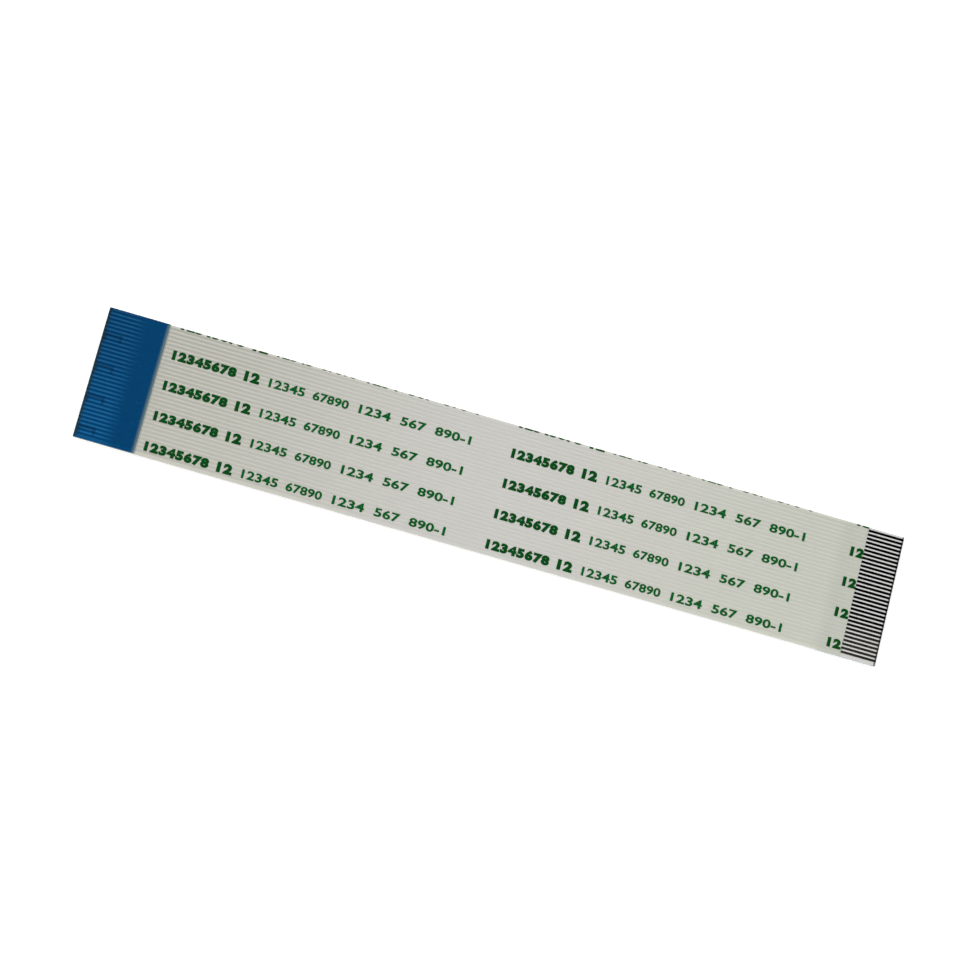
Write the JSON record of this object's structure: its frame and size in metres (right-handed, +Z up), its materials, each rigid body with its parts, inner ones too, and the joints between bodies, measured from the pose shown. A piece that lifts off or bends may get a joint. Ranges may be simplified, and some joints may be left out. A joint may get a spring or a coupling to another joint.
{
  "type": "flat flex cable",
  "caption": "Flat flex cable: flat tinned conductors laminated between white films, with a blue stiffener behind the bare contacts of each end, on opposite faces.",
  "frame": {"origin": "under the middle of the cable, on the surface that it lies on", "axes": "+X along the cable, from the end with its stiffener on top to the end with its contacts on top; +Y across it, towards the narrower margin; +Z up"},
  "size_m": [0.1, 0.0164, 0.0005],
  "materials": {
    "film": "satin white polyester film, faintly ribbed over the conductors",
    "conductor": "tin-plated copper strip, satin, finely drawn along its length",
    "stiffener": "smooth blue polyester reinforcement tape",
    "ink": "thin green ink"
  },
  "bodies": {
    "root": {"upper_film": "film", "lower_film": "film", "conductor_01": "conductor", "conductor_02": "conductor", "conductor_03": "conductor", "conductor_04": "conductor", "conductor_05": "conductor", "conductor_06": "conductor", "conductor_07": "conductor", "conductor_08": "conductor", "conductor_09": "conductor", "conductor_10": "conductor", "conductor_11": "conductor", "conductor_12": "conductor", "conductor_13": "conductor", "conductor_14": "conductor", "conductor_15": "conductor", "conductor_16": "conductor", "conductor_17": "conductor", "conductor_18": "conductor", "conductor_19": "conductor", "conductor_20": "conductor", "conductor_21": "conductor", "conductor_22": "conductor", "conductor_23": "conductor", "conductor_24": "conductor", "conductor_25": "conductor", "conductor_26": "conductor", "conductor_27": "conductor", "conductor_28": "conductor", "conductor_29": "conductor", "conductor_30": "conductor", "conductor_31": "conductor", "conductor_32": "conductor", "front_stiffener": "stiffener", "rear_stiffener": "stiffener", "printed_marks": "ink"}
  },
  "joints": []
}
